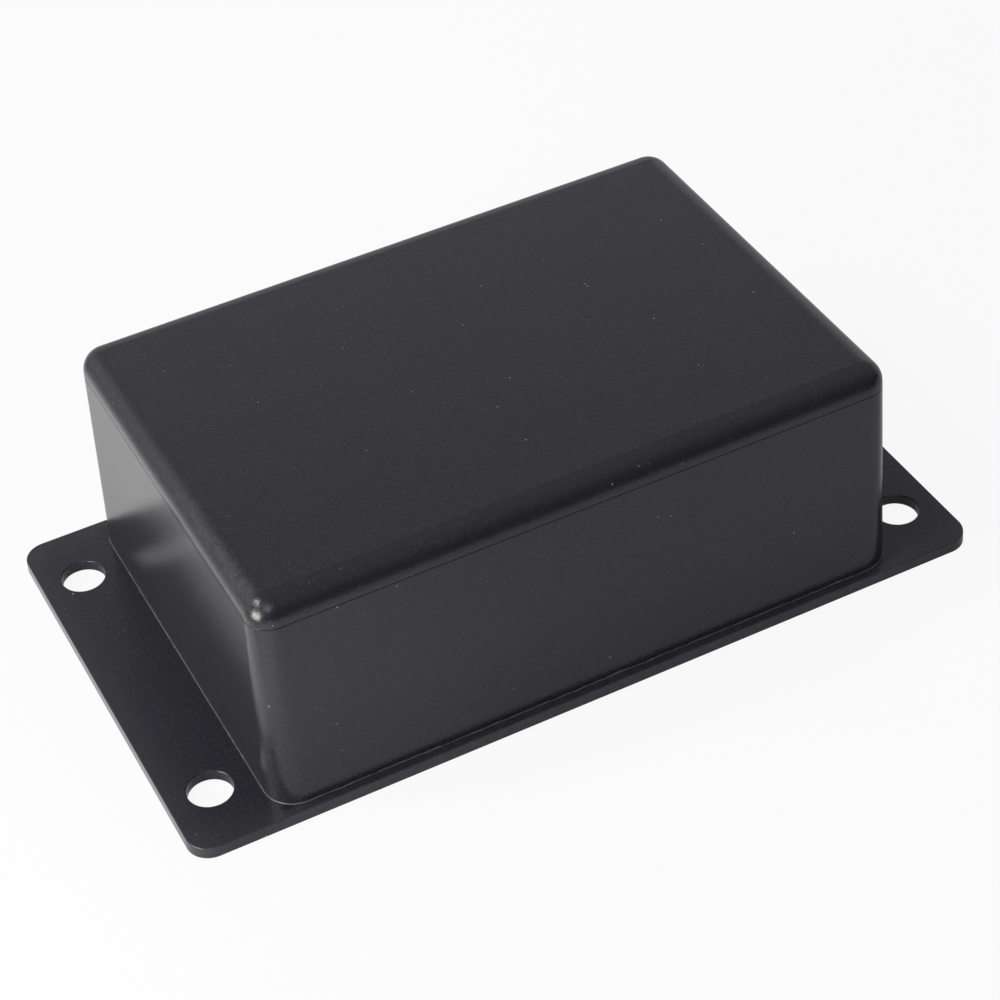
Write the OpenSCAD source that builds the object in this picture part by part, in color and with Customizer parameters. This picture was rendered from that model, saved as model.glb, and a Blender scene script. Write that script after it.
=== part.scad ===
// Flanged project box for small circuit modules, moulded in black ABS.
// The deep box stands mouth down on a flat cover, and four countersunk screws
// from beneath hold the two together. The cover runs out past both short ends
// of the box as ears, with two holes in each for fixing it to a wall or panel.
// Millimetres, +Z up, X along the box, origin at the middle of the underside.

/* [Box body] */
// Length of the box outside, at its mouth
body_l = 87; // [60:0.5:160]
// Width of the box outside, at its mouth
body_w = 59.4; // [42:0.1:120]
// Height of the box from its mouth to its closed face
body_h = 31.3; // [20:0.1:80]
// Thickness of the side walls
wall_t = 2; // [1.5:0.1:2.6]
// Thickness of the closed face
roof_t = 2; // [1.5:0.1:3.5]
// Corner radius around the closed face, seen from above
corner_r = 3; // [3:0.1:8]
// Radius of the rounded edge of the closed face
edge_r = 2.9; // [1:0.1:3]
// Lean of every moulded side, in degrees
draft = 2; // [0.5:0.1:2.5]
// Depth of the mould line below the closed face
mould_line_drop = 3.4; // [3.3:0.1:12]
// Radius of the hairline groove that the mould line leaves
mould_line_r = 0.08; // [0.05:0.01:0.3]

/* [Card guides] */
// Slots for circuit boards along each long wall
guide_count = 3; // [1:1:5]
// Distance from one slot to the next
guide_pitch = 18; // [8:1:24]
// Thickness of the boards that the slots take
board_t = 1.6; // [0.8:0.1:2.4]
// Play of a board in its slot
board_play = 0.3; // [0.1:0.05:0.6]
// Thickness of each guide rib
rib_t = 1.2; // [0.8:0.1:2]
// How far a rib stands in from the wall, at the mouth
rib_reach = 2.2; // [2.2:0.1:4]
// Distance that the ribs stop short of the locating lip
rib_lip_gap = 1; // [0.5:0.1:3]

/* [Flanged cover] */
// Length of each ear, past the end of the box
ear_l = 11.2; // [9:0.1:30]
// Width of the ledge along each long side of the box
ledge_w = 1.2; // [0.5:0.1:20]
// Thickness of the cover
cover_t = 1.6; // [1.2:0.1:3]
// Corner radius of the cover, seen from above
cover_corner_r = 3; // [1:0.1:8]
// Radius of the cover's upper edge
cover_edge_r = 0.15; // [0.1:0.05:0.8]
// Height of the locating lip inside the box
lip_h = 2; // [1:0.1:4]
// Thickness of the locating lip
lip_t = 1.2; // [0.8:0.1:2]
// Gap between the lip and the box wall
lip_gap = 0.2; // [0.15:0.05:0.5]
// Gap between each end of the lip and the corner pillars
lip_end_gap = 0.8; // [0.3:0.1:3]

/* [Mounting holes] */
// Distance from each mounting hole's axis to the end of its ear
mount_end_inset = 5.7; // [4:0.1:6]
// Distance from each mounting hole's axis to the cover's long edge
mount_side_inset = 9.1; // [5:0.1:15]
// Diameter of each mounting hole
mount_d = 5.8; // [3:0.1:6.4]
// Radius of each mounting hole's upper and lower edge
mount_edge_r = 0.15; // [0.1:0.05:0.5]

/* [Cover screws] */
// Distance from the box's outer faces at the mouth to each screw's axis
screw_inset = 5.4; // [5:0.1:9]
// Radius of the corner pillar around each screw
pillar_r = 3; // [2.4:0.1:4]
// Diameter of the screw's core, inside its thread
screw_core_d = 2.3; // [1.8:0.1:3]
// Length of the screw, over its head
screw_l = 9.5; // [6.5:0.5:16]
// Diameter of the screw's countersunk head
head_d = 5.4; // [4:0.1:7]
// Thickness of the straight rim around the head
head_rim = 0.2; // [0.1:0.05:0.4]
// Depth that the head sits below the underside
head_sink = 0.1; // [0.05:0.05:0.2]
// Gap between the head and its seat in the cover
seat_gap = 0.05; // [0.02:0.01:0.1]
// Width over the wings of the cross recess
cross_w = 2.8; // [1.8:0.1:3.4]
// Thickness of one wing of the cross recess
cross_t = 0.7; // [0.4:0.1:1]
// Depth of the cross recess
cross_depth = 1.2; // [0.6:0.1:1.4]
// Width of the chamfer that leads into each pilot hole
lead_in = 0.4; // [0.2:0.1:0.8]
// Radial play between the screw's core and its pilot hole
pilot_play = 0.05; // [0.03:0.01:0.15]
// Depth of the pilot hole past the screw's tip
pilot_spare = 2.5; // [1:0.5:6]
// Radial play of the screw in the cover
screw_play = 0.45; // [0.35:0.05:0.8]

/* [Hidden] */
$fn = 96;
// Overrun that lets a cut pass cleanly through a face
over = 1;
lean = tan(draft);

// The cover runs past the box as two ears and two ledges
cover_l = body_l + 2 * ear_l;
cover_w = body_w + 2 * ledge_w;
mount_x = cover_l / 2 - mount_end_inset;
mount_y = cover_w / 2 - mount_side_inset;

// The screws stand in the box's four corners
screw_x = body_l / 2 - screw_inset;
screw_y = body_w / 2 - screw_inset;

// Inside of the box
room_l = body_l - 2 * wall_t;
room_w = body_w - 2 * wall_t;
room_h = body_h - roof_t;
room_corner_r = corner_r - wall_t + roof_t * lean;
room_edge_r = min(max(edge_r - roof_t, 0.3), room_corner_r);

// The pilot hole takes the screw's core, and the countersink its head
pilot_r = screw_core_d / 2 + pilot_play;
pilot_depth = screw_l + head_sink - cover_t + pilot_spare;
sink_r = head_d / 2 + head_rim + head_sink + seat_gap;
lead_r = max(pilot_r + lead_in, sink_r - cover_t);
screw_hole_r = screw_core_d / 2 + screw_play;

black_abs = [0.16, 0.165, 0.18];
zinc_steel = [0.7, 0.71, 0.73];

// Half section of a moulded side: x runs outwards from the corner's centre, y
// up. The side leans in from foot_r, and an arc rounds its edge at the top.
module side_section(h, foot_r, round_r) {
    arc_y = h - round_r;
    arc_x = foot_r - arc_y * lean - round_r / cos(draft);
    meet = [arc_x + round_r * cos(draft), arc_y + round_r * sin(draft)];
    polygon([[0, 0], [foot_r, 0], meet, [arc_x, arc_y], [arc_x, h], [0, h]]);
    intersection() {
        translate([arc_x, arc_y]) circle(round_r);
        polygon([[arc_x, arc_y], meet, meet + [0, 2 * round_r], [arc_x, arc_y + 2 * round_r]]);
    }
}

// Block with leaning sides, rounded corners and a rounded upper edge. Length
// and width are those of its foot, and top_r is its corner radius at the top.
// A groove of groove_r, where one is given, runs round it at groove_z. The
// corner radius is kept to whole micrometres, so that the middle, the sides and
// the corners meet without a hair's gap.
module moulded_block(l, w, h, top_r, round_r, groove_z = 0, groove_r = 0) {
    foot_r = round(1000 * (top_r + h * lean)) / 1000;
    half_x = l / 2 - foot_r;
    half_y = w / 2 - foot_r;

    module section() {
        difference() {
            side_section(h, foot_r, round_r);
            if (groove_r > 0) {
                translate([foot_r - groove_z * lean, groove_z]) circle(groove_r);
            }
        }
    }

    translate([-half_x, -half_y, 0]) cube([2 * half_x, 2 * half_y, h]);
    for (turn = [0, 180]) {
        rotate(turn) translate([half_x, half_y, 0]) rotate([90, 0, 0])
            linear_extrude(2 * half_y) section();
        rotate(turn + 90) translate([half_y, half_x, 0]) rotate([90, 0, 0])
            linear_extrude(2 * half_x) section();
    }
    for (flip_x = [0, 1], flip_y = [0, 1]) {
        mirror([flip_x, 0, 0]) mirror([0, flip_y, 0]) translate([half_x, half_y, 0])
            rotate_extrude(angle = 90) section();
    }
}

// Repeats its children in the four corners, turned so that the first copy's +X
// and +Y sides face outwards in each
module in_four_corners(x, y) {
    for (flip_x = [0, 1], flip_y = [0, 1]) {
        mirror([flip_x, 0, 0]) mirror([0, flip_y, 0]) translate([x, y, 0]) children();
    }
}

// Pillar that fills a corner of the box around a screw: round on the side that
// faces into the box, and square where it runs into the two walls
module corner_pillar() {
    linear_extrude(body_h) {
        intersection() {
            circle(pillar_r);
            translate([-pillar_r, -pillar_r]) square(pillar_r);
        }
        translate([0, -pillar_r]) square([screw_inset, pillar_r + screw_inset]);
        translate([-pillar_r, 0]) square([pillar_r, screw_inset]);
    }
}

// Pairs of ribs down both long walls, with a slot for a board between each pair
module card_guides() {
    slot_w = board_t + board_play;
    tip_y = room_w / 2 - rib_reach;
    start_z = lip_h + rib_lip_gap;
    for (i = [0 : guide_count - 1], side = [-1, 1], wall = [0, 180]) {
        slot_x = (i - (guide_count - 1) / 2) * guide_pitch;
        rib_x = slot_x + side * (slot_w + rib_t) / 2;
        rotate(wall) translate([rib_x - rib_t / 2, tip_y, start_z])
            cube([rib_t, rib_reach + wall_t, body_h - start_z]);
    }
}

// Space inside the box: the moulding core without the pillars and the ribs
module room() {
    difference() {
        moulded_block(room_l, room_w, room_h, room_corner_r, room_edge_r);
        in_four_corners(screw_x, screw_y) corner_pillar();
        card_guides();
    }
}

// Blind hole that the screw cuts its thread in. Its 45 degree lead-in also
// takes what the countersunk head reaches past the cover.
module pilot_hole() {
    cylinder(h = pilot_depth, r = pilot_r);
    translate([0, 0, -over]) cylinder(h = lead_r + over, r1 = lead_r + over, r2 = 0);
}

module box_body() {
    color(black_abs)
    translate([0, 0, cover_t])
    difference() {
        moulded_block(body_l, body_w, body_h, corner_r, edge_r,
                      body_h - mould_line_drop, mould_line_r);
        room();
        in_four_corners(screw_x, screw_y) pilot_hole();
    }
}

// Mounting hole, with both of its edges rounded
module mount_hole() {
    mouth_r = mount_d / 2 + mount_edge_r;
    rotate_extrude() difference() {
        translate([0, -over]) square([mouth_r, cover_t + 2 * over]);
        translate([mount_d / 2, mount_edge_r]) square([2 * mount_edge_r, cover_t - 2 * mount_edge_r]);
        translate([mouth_r, mount_edge_r]) circle(mount_edge_r);
        translate([mouth_r, cover_t - mount_edge_r]) circle(mount_edge_r);
    }
}

// Clearance hole for a cover screw, countersunk from beneath
module screw_hole() {
    translate([0, 0, -over]) cylinder(h = cover_t + 2 * over, r = screw_hole_r);
    translate([0, 0, -over]) cylinder(h = sink_r + over, r1 = sink_r + over, r2 = 0);
}

// Four straight ribs on the cover that drop inside the mouth of the box and
// keep the two in line. They stop short of the corner pillars, and are rooted
// halfway down into the cover that they are moulded with.
module locating_lip() {
    long_half = screw_x - pillar_r - lip_end_gap;
    short_half = screw_y - pillar_r - lip_end_gap;
    root_z = cover_t / 2;
    rib_h = cover_t + lip_h - root_z;
    for (turn = [0, 180]) {
        rotate(turn) translate([-long_half, room_w / 2 - lip_gap - lip_t, root_z])
            cube([2 * long_half, lip_t, rib_h]);
        rotate(turn) translate([room_l / 2 - lip_gap - lip_t, -short_half, root_z])
            cube([lip_t, 2 * short_half, rib_h]);
    }
}

module base_cover() {
    color(black_abs)
    difference() {
        union() {
            moulded_block(cover_l, cover_w, cover_t, cover_corner_r, cover_edge_r);
            locating_lip();
        }
        in_four_corners(mount_x, mount_y) mount_hole();
        in_four_corners(screw_x, screw_y) screw_hole();
    }
}

// Countersunk self-tapping screw, head down. Its thread is left out.
module cover_screw(side_x, side_y) {
    head_r = head_d / 2;
    core_r = screw_core_d / 2;
    neck_z = head_rim + head_r - core_r;
    tip_l = core_r;
    color(zinc_steel)
    translate([side_x * screw_x, side_y * screw_y, head_sink])
    difference() {
        rotate_extrude() polygon([
            [0, 0], [head_r, 0], [head_r, head_rim], [core_r, neck_z],
            [core_r, screw_l - tip_l], [core_r / 3, screw_l], [0, screw_l]]);
        intersection() {
            translate([0, 0, -over])
                cylinder(h = cross_depth + over, r1 = cross_w / 2 + over / 2, r2 = cross_t / 2);
            union() {
                translate([-cross_w / 2, -cross_t / 2, -over]) cube([cross_w, cross_t, cross_depth + over]);
                translate([-cross_t / 2, -cross_w / 2, -over]) cube([cross_t, cross_w, cross_depth + over]);
            }
        }
    }
}

box_body();
base_cover();
cover_screw(-1, -1);  // screw_front_left
cover_screw(1, -1);  // screw_front_right
cover_screw(-1, 1);  // screw_rear_left
cover_screw(1, 1);  // screw_rear_right
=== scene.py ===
"""Looks of the flanged plastic project box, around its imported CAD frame.

Metres, +Z up, +X along the box. The box stands on its flat cover, as it does
on a bench. It is built in the order in which it is put together: moulded box,
cover, screws, and then the bench and the lights around it.
"""

import math

import bmesh
import bpy
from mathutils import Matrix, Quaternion, Vector, noise


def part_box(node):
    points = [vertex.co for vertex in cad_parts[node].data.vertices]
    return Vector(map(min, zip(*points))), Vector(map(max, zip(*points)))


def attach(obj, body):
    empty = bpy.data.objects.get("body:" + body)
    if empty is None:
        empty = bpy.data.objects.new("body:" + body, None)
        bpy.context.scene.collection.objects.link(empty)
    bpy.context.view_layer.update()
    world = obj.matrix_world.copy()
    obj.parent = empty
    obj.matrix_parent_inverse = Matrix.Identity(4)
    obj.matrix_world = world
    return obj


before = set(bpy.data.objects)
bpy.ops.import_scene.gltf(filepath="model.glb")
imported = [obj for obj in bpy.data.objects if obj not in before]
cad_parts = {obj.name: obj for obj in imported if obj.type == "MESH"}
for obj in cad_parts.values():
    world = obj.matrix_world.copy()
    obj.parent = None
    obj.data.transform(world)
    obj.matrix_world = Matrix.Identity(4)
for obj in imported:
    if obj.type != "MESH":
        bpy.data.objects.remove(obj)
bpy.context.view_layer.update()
MM = 0.001

# --- Box body -----------------------------------------------------------------
# The deep box is one ABS moulding, black with a fine spark-eroded grain. It came
# out of a tool in two halves, whose parting left a hairline below the lid face,
# and it has since gathered a little dust and a few light scuffs. Its left top edge
# is painted paler, partly as wear and partly as a painted highlight.


class Signal:
    """An output socket. Arithmetic on it adds Math nodes to its tree."""

    def __init__(self, tree, socket):
        self.tree, self.socket = tree, socket

    def maths(self, operation, *values, clamp=False):
        settings = {"operation": operation, "use_clamp": clamp}
        return add_node(self.tree, "ShaderNodeMath", settings, dict(enumerate(values)))

    def __add__(self, other):
        return self.maths("ADD", self, other)

    def __sub__(self, other):
        return self.maths("SUBTRACT", self, other)

    def __rsub__(self, other):
        return self.maths("SUBTRACT", other, self)

    def __mul__(self, other):
        return self.maths("MULTIPLY", self, other)

    def __truediv__(self, other):
        return self.maths("DIVIDE", self, other)

    def __neg__(self):
        return self.maths("MULTIPLY", self, -1.0)

    def __abs__(self):
        return self.maths("ABSOLUTE", self)

    __radd__ = __add__
    __rmul__ = __mul__

    def rises(self, start, end):
        """0 below start and 1 above end, with a smooth slope between them."""
        return self.falls_or_rises(start, end, 0.0, 1.0)

    def falls(self, start, end):
        """1 below start and 0 above end, with a smooth slope between them."""
        return self.falls_or_rises(start, end, 1.0, 0.0)

    def falls_or_rises(self, start, end, low, high):
        return add_node(
            self.tree,
            "ShaderNodeMapRange",
            {"interpolation_type": "SMOOTHSTEP"},
            {"Value": self, "From Min": start, "From Max": end, "To Min": low, "To Max": high},
        )

    def part(self, axis):
        """The X, Y or Z of a vector."""
        return add_node(self.tree, "ShaderNodeSeparateXYZ", {}, {"Vector": self}, axis)


def add_node(tree, kind, settings, values, output=0):
    """Adds one node: its settings first, then the values or links of its sockets."""
    node = tree.nodes.new(kind)
    for name, setting in settings.items():
        if name == "stops":
            stops = node.color_ramp.elements
            while len(stops) < len(setting):
                stops.new(0.5)
            for stop, (place, colour) in zip(stops, setting):
                stop.position, stop.color = place, (*colour, 1.0)
        else:
            setattr(node, name, setting)
    for name, value in values.items():
        found = node.inputs[name] if isinstance(name, int) else None
        for socket in node.inputs:
            if found is None and socket.enabled and name in (socket.identifier, socket.name):
                found = socket
        if isinstance(value, Signal):
            tree.links.new(value.socket, found)
        elif value is not None:
            found.default_value = value
    if not node.outputs:
        return None
    if isinstance(output, str):
        named = [s for s in node.outputs if s.enabled and s.name == output]
        return Signal(tree, named[0])
    return Signal(tree, node.outputs[output])


def mix_colours(share, first, second):
    """A colour between two colours or colour links."""
    return add_node(
        share.tree,
        "ShaderNodeMix",
        {"data_type": "RGBA"},
        {"Factor": share, "A": first, "B": second},
        "Result",
    )


def srgb(red, green, blue):
    """A colour as painters' charts give it, 0 to 255, for a shader's socket."""

    def linear(level):
        level /= 255
        return level / 12.92 if level <= 0.04045 else ((level + 0.055) / 1.055) ** 2.4

    return (linear(red), linear(green), linear(blue), 1.0)


def new_finish(name):
    """An empty material, its node tree and the millimetre place on the piece."""
    material = bpy.data.materials.new(name)
    material.use_nodes = True
    tree = material.node_tree
    tree.nodes.clear()
    place = add_node(tree, "ShaderNodeTexCoord", {}, {}, "Object")
    place = add_node(
        tree, "ShaderNodeVectorMath", {"operation": "SCALE"}, {"Vector": place, "Scale": 1 / MM}
    )
    return material, tree, place


def mottle(place, per_mm, detail=2.0, spread=0.5):
    """Soft random patches, 0 to 1, so many to the millimetre."""
    return add_node(
        place.tree,
        "ShaderNodeTexNoise",
        {"noise_dimensions": "3D"},
        {"Vector": place, "Scale": per_mm, "Detail": detail, "Roughness": spread},
        "Fac",
    )


def specks(place, spacing, radius, share):
    """Round dust specks of mixed size, in a share of the cells they may lie in."""
    cell = {"Vector": place, "Scale": 1 / spacing, "Randomness": 1.0}
    kind = {"voronoi_dimensions": "3D", "feature": "F1"}
    distance = add_node(place.tree, "ShaderNodeTexVoronoi", kind, cell, "Distance") * spacing
    lot = add_node(place.tree, "ShaderNodeTexVoronoi", kind, cell, "Color").part(0)
    size = lot.rises(1 - share, 1.0) * radius
    return (size - distance).rises(-0.02, 0.04)


def scratches(place, turn, spacing, width, share):
    """Short hairline scratches that lie about one way."""
    turned = add_node(
        place.tree,
        "ShaderNodeMapping",
        {"vector_type": "TEXTURE"},
        {"Vector": place, "Rotation": (0, 0, math.radians(turn)), "Scale": (9.0, 1.0, 1.0)},
    )
    cell = {"Vector": turned, "Scale": 1 / spacing, "Randomness": 1.0}
    kind = {"voronoi_dimensions": "2D", "feature": "F1"}
    distance = add_node(place.tree, "ShaderNodeTexVoronoi", kind, cell, "Distance") * spacing
    lot = add_node(place.tree, "ShaderNodeTexVoronoi", kind, cell, "Color").part(1)
    return (lot.rises(1 - share, 1.0) * width - distance).rises(-0.02, 0.03)


def finish_surface(material, tree, colour, rough, height, depth, **constants):
    """Joins a colour, a roughness and a relief to the plastic or metal shader."""
    relief = add_node(
        tree, "ShaderNodeBump", {}, {"Height": height, "Strength": 1.0, "Distance": depth * MM}
    )
    shader = add_node(
        tree,
        "ShaderNodeBsdfPrincipled",
        {},
        {"Base Color": colour, "Roughness": rough, "Normal": relief, **constants},
    )
    add_node(tree, "ShaderNodeOutputMaterial", {}, {"Surface": shader})
    return material


def black_abs(material, tree, place, base, tint, dustiness, worn_and_painted_light, haze_and_painted_light):
    """Black moulded ABS: grain, flow mottle, dust, worn spots and fine scratches.

    Dustiness multiplies the dust. The second mask paints the surface pale: rubbed
    wear, and also painted highlight and painted fill light. The third lays a pale
    grey film: a thin film of fine dust, and also painted sheen and painted fill light.
    """
    flow = mottle(place, 0.06, 3.0)
    grain = mottle(place, 4.2, 2.0, 0.6)
    pits = mottle(place, 2.3, 3.0, 0.7).rises(0.5, 0.72)
    fluff = mottle(place, 0.9, 3.0, 0.6)
    dust = specks(place, 1.9, 0.12, 0.4) * dustiness
    fine_dust = specks(place, 0.75, 0.075, 0.3) * dustiness
    marks = scratches(place, 24, 3.4, 0.05, 0.1) + scratches(place, -38, 4.1, 0.05, 0.1)
    marks = marks * 0.3
    # Pale rub: wear, and also painted highlight and painted fill light.
    rubbed_and_painted_light = worn_and_painted_light * (grain * 0.7 + fluff * 0.6).rises(0.5, 0.85)
    colour = mix_colours(flow, base, tint)
    # Grey film: fine dust, and also painted sheen and painted fill light.
    colour = mix_colours(haze_and_painted_light, colour, srgb(84, 85, 90))
    colour = mix_colours(pits * 0.3, colour, srgb(66, 66, 72))
    colour = mix_colours(rubbed_and_painted_light, colour, srgb(116, 116, 120))
    colour = mix_colours(dust * 0.55 + fine_dust * 0.25, colour, srgb(206, 206, 204))
    colour = mix_colours(marks, colour, srgb(120, 122, 126))
    rough = 0.12 + flow * 0.04 + fluff * 0.04 + pits * 0.04 + haze_and_painted_light * 0.1
    rough = rough + rubbed_and_painted_light * 0.15 + (dust + fine_dust + marks) * 0.25
    return finish_surface(material, tree, colour, rough, grain, 0.035, IOR=1.54)


material, tree, place = new_finish("black_abs_grained")
x, y, z = place.part(0), place.part(1), place.part(2)
near_left = (-x).rises(30.0, 43.0)
low_down = z.falls(6.0, 24.0)
left_edge = (-x).rises(39.8, 40.8) * (-x).falls(41.6, 42.6) * z.rises(30.5, 31.5)
box_plastic = black_abs(
    material,
    tree,
    place,
    srgb(32, 32, 37),
    srgb(37, 37, 42),
    0.75 + near_left * low_down * 0.8,
    # Painted paler along the left top edge towards the front: partly rubbed wear, partly a
    # painted highlight.
    left_edge * (-y).rises(-20.0, 30.0) * 0.15,
    low_down * 0.01,
)
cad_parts["box_body"].material_slots[0].material = box_plastic

# --- Cover --------------------------------------------------------------------
# The flanged cover is a flat ABS plate from a second tool, a shade bluer than the
# box. The box stands on it mouth down, over a low locating lip, and dust gathers
# on its ears and along the narrow ledges beside the box. The ledges, which lie in
# the box's shade, are also painted paler as painted fill light, and the outer rim
# carries a painted edge highlight.

material, tree, place = new_finish("black_abs_plain")
x, y = place.part(0), place.part(1)
on_ears = abs(x).rises(42.0, 46.0)
on_ledges = abs(y).rises(29.4, 30.0) * abs(x).falls(42.0, 46.0)
rim = abs(x).rises(50.5, 55.0) + abs(y).rises(25.0, 31.0) * on_ears
cover_plastic = black_abs(
    material,
    tree,
    place,
    srgb(31, 31, 38),
    srgb(37, 37, 44),
    on_ears * 0.7 + on_ledges * 0.5 + 0.7,
    # On the ledges, which lie in the box's shade, the pale rub and grey film are painted fill
    # light; along the outer rim the grey film is a painted edge highlight.
    on_ledges * 0.08,
    on_ledges * 0.16 + rim * 0.12,
)
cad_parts["base_cover"].material_slots[0].material = cover_plastic

# --- Flash along the foot -----------------------------------------------------
# Where the rim of the box was trimmed, a fine bead of flash stays. It fills the
# joint with the cover, and catches the light as a thin uneven line. Its grey is
# painted paler than the black box, partly as dust and partly as a painted
# highlight, brightest near the front-left corner.

body_low, body_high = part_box("box_body")
bead_out = 0.1 * MM
bead_in = 0.1 * MM
bead_rise = 0.17 * MM
foot_corner = 4.093 * MM
corner_segments = 10
ripple_cuts = 150
coarse_ripple, fine_ripple = 1.7 * MM, 0.5 * MM
front_line, left_corner = -28.5 * MM, -38 * MM
front_unevenness, other_unevenness = 0.8, 0.35

bead_mesh = bmesh.new()
half_l, half_w = body_high.x + bead_out, body_high.y + bead_out
bmesh.ops.create_grid(bead_mesh, x_segments=1, y_segments=1, size=1.0)
bmesh.ops.scale(bead_mesh, vec=(half_l, half_w, 1.0), verts=bead_mesh.verts)
bmesh.ops.translate(bead_mesh, vec=(0, 0, body_low.z), verts=bead_mesh.verts)
bmesh.ops.bevel(
    bead_mesh,
    geom=bead_mesh.verts[:],
    offset=foot_corner + bead_out,
    affect="VERTICES",
    segments=corner_segments,
    profile=0.5,
    material=-1,
)
long_edges = [e for e in bead_mesh.edges if e.calc_length() > 10 * MM]
bmesh.ops.subdivide_edges(bead_mesh, edges=long_edges, cuts=ripple_cuts)
ring = bmesh.ops.inset_region(
    bead_mesh,
    faces=bead_mesh.faces[:],
    thickness=bead_out + bead_in,
    use_even_offset=True,
    use_boundary=True,
)
middle = [f for f in bead_mesh.faces if f not in set(ring["faces"])]
bmesh.ops.delete(bead_mesh, geom=middle, context="FACES")
raised = bmesh.ops.extrude_face_region(bead_mesh, geom=bead_mesh.faces[:])
top_verts = [g for g in raised["geom"] if isinstance(g, bmesh.types.BMVert)]
bmesh.ops.translate(bead_mesh, vec=(0, 0, bead_rise), verts=top_verts)
for vert in top_verts:
    swell = noise.noise(vert.co / coarse_ripple) + 0.6 * noise.noise(vert.co / fine_ripple)
    along_front = vert.co.y < front_line and vert.co.x > left_corner
    unevenness = front_unevenness if along_front else other_unevenness
    vert.co.z += unevenness * bead_rise * swell
    vert.co.x *= 1 - 0.5 * bead_out / half_l
    vert.co.y *= 1 - 0.5 * bead_out / half_w
bmesh.ops.recalc_face_normals(bead_mesh, faces=bead_mesh.faces[:])
bead_data = bpy.data.meshes.new("foot_flash")
bead_mesh.to_mesh(bead_data)
bead_mesh.free()
foot_flash = bpy.data.objects.new("foot_flash", bead_data)
bpy.context.scene.collection.objects.link(foot_flash)
for face in bead_data.polygons:
    face.use_smooth = True
material, tree, place = new_finish("black_abs_flash")
whitened = mottle(place, 0.5, 3.0).rises(0.35, 0.7)
painted_corner_highlight = (-place.part(0)).rises(36.0, 41.0) * (-place.part(1)).rises(22.0, 28.0)
bead_data.materials.append(
    black_abs(
        material,
        tree,
        place,
        # The flash's grey is painted paler than the box's black: partly dust, partly a painted
        # highlight.
        srgb(58, 58, 63),
        srgb(82, 82, 88),
        1.5,
        # Painted highlight: the pale mottle, along with some dust, and the glint at the
        # front-left corner.
        whitened * 0.7,
        whitened * 0.25 + painted_corner_highlight * 0.5,
    )
)
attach(foot_flash, "root")

# --- Cover screws -------------------------------------------------------------
# Four countersunk self-tapping screws hold the cover from beneath. They are
# steel with a bright zinc coat that has clouded a little.

material, tree, place = new_finish("zinc_plate")
cloud = mottle(place, 0.9, 3.0)
drawn = mottle(place, 9.0, 2.0)
zinc = mix_colours(cloud, srgb(196, 199, 203), srgb(214, 212, 203))
zinc_plate = finish_surface(
    material, tree, zinc, 0.24 + cloud * 0.14 + drawn * 0.06, drawn, 0.003, Metallic=1.0
)
for name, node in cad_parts.items():
    if name.startswith("screw_"):
        node.material_slots[0].material = zinc_plate

# --- Bench, lights and camera -------------------------------------------------
# A white bench in a softly lit room, brighter behind than in front. Two soft
# lamps stand to the left, one above the bench and one low down beside it.

scene = bpy.context.scene
floor_size = 6.0
floor_mesh = bmesh.new()
bmesh.ops.create_grid(floor_mesh, x_segments=1, y_segments=1, size=floor_size / 2)
floor_data = bpy.data.meshes.new("bench")
floor_mesh.to_mesh(floor_data)
floor_mesh.free()
bench = bpy.data.objects.new("bench", floor_data)
scene.collection.objects.link(bench)
bench_paint, tree, place = new_finish("bench_white")
x, y = place.part(0), place.part(1)
# The bench's brightness in reflections is painted: a painted pool of lamplight to the left, a
# painted shadow under the box and along its front foot, and painted shade towards the front.
# The camera sees it white.
lamp_pool = (-x).rises(-20, 75) * (-x).falls(70, 135) * 0.4
lamp_pool = lamp_pool + (-x).rises(46, 60) * (-x).falls(66, 84) * 0.35
painted_box_shadow = abs(x).falls(52, 56) * abs(y).falls(28, 32)
foot_shade = y.rises(-52, -31) * y.falls(-31, -20) * 0.3
painted_bench_light = (y.rises(-150, -92) * 0.75 + 0.25) * (lamp_pool + 0.5)
painted_bench_light = painted_bench_light * (1.0 - painted_box_shadow * 0.5) * (1.0 - foot_shade)
seen = add_node(tree, "ShaderNodeLightPath", {}, {}, "Is Camera Ray")
mirrored = add_node(tree, "ShaderNodeLightPath", {}, {}, "Is Glossy Ray")
through = add_node(tree, "ShaderNodeLightPath", {}, {}, "Is Transmission Ray")
share = seen * 0.9 + mirrored + through
level = (seen + painted_bench_light).maths("MINIMUM", seen + painted_bench_light, 1.0)
glow = mix_colours(level, srgb(0, 0, 0), srgb(255, 255, 255))
matte = add_node(tree, "ShaderNodeBsdfDiffuse", {}, {"Color": srgb(240, 240, 240)})
white = add_node(tree, "ShaderNodeEmission", {}, {"Color": glow, "Strength": 1.0})
floor_shader = add_node(tree, "ShaderNodeMixShader", {}, {0: share, 1: matte, 2: white})
add_node(tree, "ShaderNodeOutputMaterial", {}, {"Surface": floor_shader})
floor_data.materials.append(bench_paint)

room = bpy.data.worlds.new("room")
room.use_nodes = True
tree = room.node_tree
tree.nodes.clear()
way = add_node(tree, "ShaderNodeTexCoord", {}, {}, "Generated")
arc = way.maths("ARCTAN2", way.part(2), -way.part(1)) / math.pi
glow = add_node(
    tree,
    "ShaderNodeValToRGB",
    {
        "stops": [
            (0.0, (0.05, 0.05, 0.06)),
            (0.16, (0.09, 0.09, 0.10)),
            (0.24, (0.16, 0.16, 0.18)),
            (0.32, (0.26, 0.26, 0.28)),
            (0.42, (0.34, 0.34, 0.37)),
            (0.64, (0.38, 0.38, 0.42)),
            (0.74, (0.24, 0.24, 0.27)),
            (0.785, (0.39, 0.39, 0.43)),
            (0.81, (0.66, 0.66, 0.71)),
            (0.87, (0.75, 0.75, 0.8)),
            (1.0, (0.42, 0.42, 0.46)),
        ]
    },
    {"Fac": arc},
    "Color",
)


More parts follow.
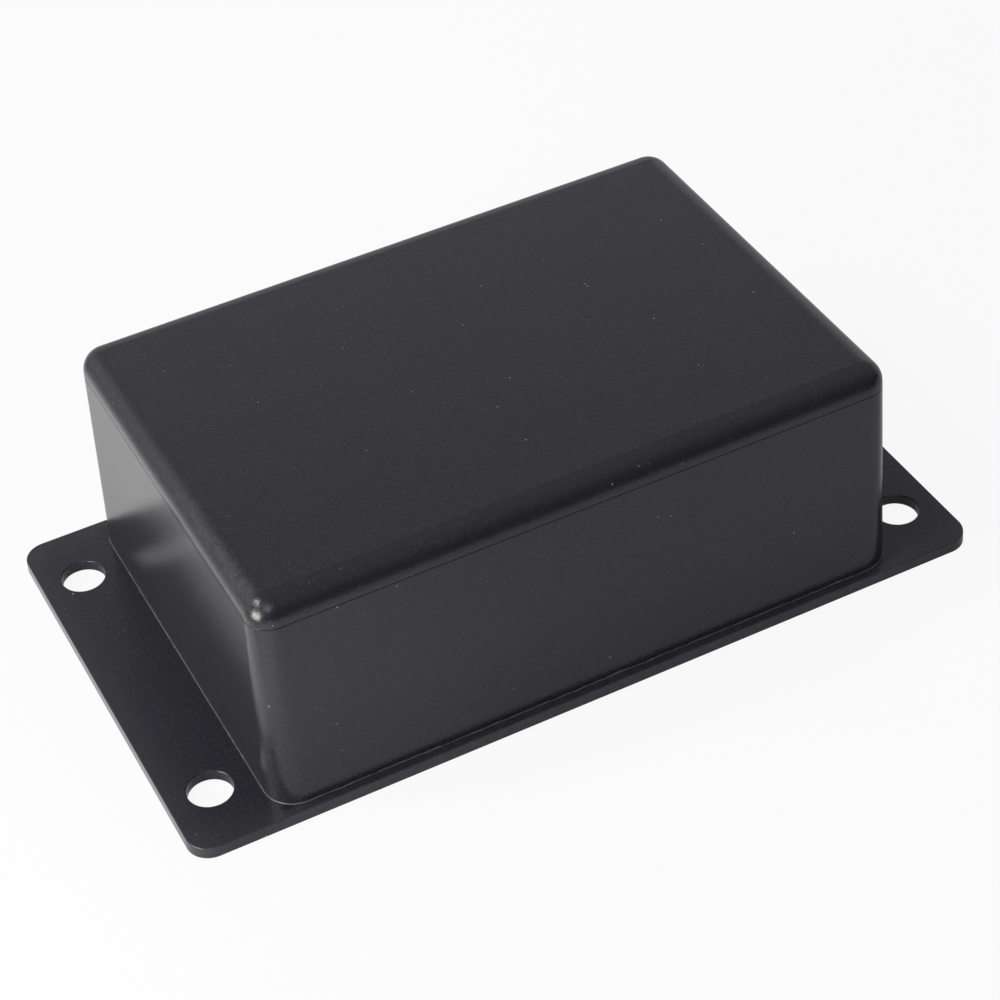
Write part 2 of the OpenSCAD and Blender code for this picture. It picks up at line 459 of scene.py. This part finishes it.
def compass_way(azimuth, elevation):
    """The way from the object to a compass bearing and a height, in degrees."""
    bearing, rise = math.radians(azimuth), math.radians(elevation)
    return Vector(
        (
            math.sin(bearing) * math.cos(rise),
            math.cos(bearing) * math.cos(rise),
            math.sin(rise),
        )
    )


def soft_patch(azimuth, elevation, inner, outer):
    """A round glow on the room's walls: 1 within inner degrees, 0 beyond outer."""
    aim = compass_way(azimuth, elevation)
    nearness = add_node(
        tree, "ShaderNodeVectorMath", {"operation": "DOT_PRODUCT"}, {0: way, 1: aim}, "Value"
    )
    return nearness.rises(math.cos(math.radians(outer)), math.cos(math.radians(inner)))


glow = mix_colours(soft_patch(-38, 26, 6, 24), glow, (0.75, 0.75, 0.8, 1.0))
glow = mix_colours(soft_patch(-160, 47, 5, 20), glow, (2.3, 2.4, 2.8, 1.0))
seen = add_node(tree, "ShaderNodeLightPath", {}, {}, "Is Camera Ray")
sky = mix_colours(seen, glow, srgb(255, 255, 255))
sky_shader = add_node(tree, "ShaderNodeBackground", {}, {"Color": sky, "Strength": 1.0})
add_node(tree, "ShaderNodeOutputWorld", {}, {"Surface": sky_shader})
scene.world = room


def soft_lamp(name, azimuth, elevation, distance, width, height, radiance, colour):
    """A soft box aimed at the middle of the object, from a compass bearing."""
    away = compass_way(azimuth, elevation)
    light = bpy.data.lights.new(name, "AREA")
    light.shape = "RECTANGLE"
    light.size, light.size_y = width, height
    light.energy = radiance * math.pi * width * height
    light.color = colour
    lamp = bpy.data.objects.new(name, light)
    lamp.location = Vector((0, 0, 0.02)) + away * distance
    lamp.rotation_mode = "QUATERNION"
    lamp.rotation_quaternion = away.to_track_quat("Z", "Y")
    scene.collection.objects.link(lamp)


warm = (1.0, 0.97, 0.9)
soft_lamp("lamp_above", -77, 48, 0.7, 0.26, 0.17, 11.0, warm)
soft_lamp("lamp_beside", -109, 5.0, 0.25, 0.12, 0.11, 13.0, warm)

view_bearing = math.radians(-22.881)
view_rise = math.radians(40.336)
view_tilt = math.radians(-5.421)
view_target = Vector((5.368, 26.708, -6.909)) * MM
view_distance = 374.77 * MM
back = Vector(
    (
        math.sin(view_bearing) * math.cos(view_rise),
        -math.cos(view_bearing) * math.cos(view_rise),
        math.sin(view_rise),
    )
)
camera_data = bpy.data.cameras.new("camera")
camera_data.sensor_width = 36.0
camera_data.lens = 95.515
camera_data.shift_x, camera_data.shift_y = 0.06, -0.035
camera_data.clip_start, camera_data.clip_end = 0.01, 20.0
camera = bpy.data.objects.new("camera", camera_data)
camera.location = view_target + back * view_distance
camera.rotation_mode = "QUATERNION"
camera.rotation_quaternion = (-back).to_track_quat("-Z", "Y") @ Quaternion((0, 0, 1), view_tilt)
scene.collection.objects.link(camera)
scene.camera = camera
scene.view_settings.view_transform = "Standard"
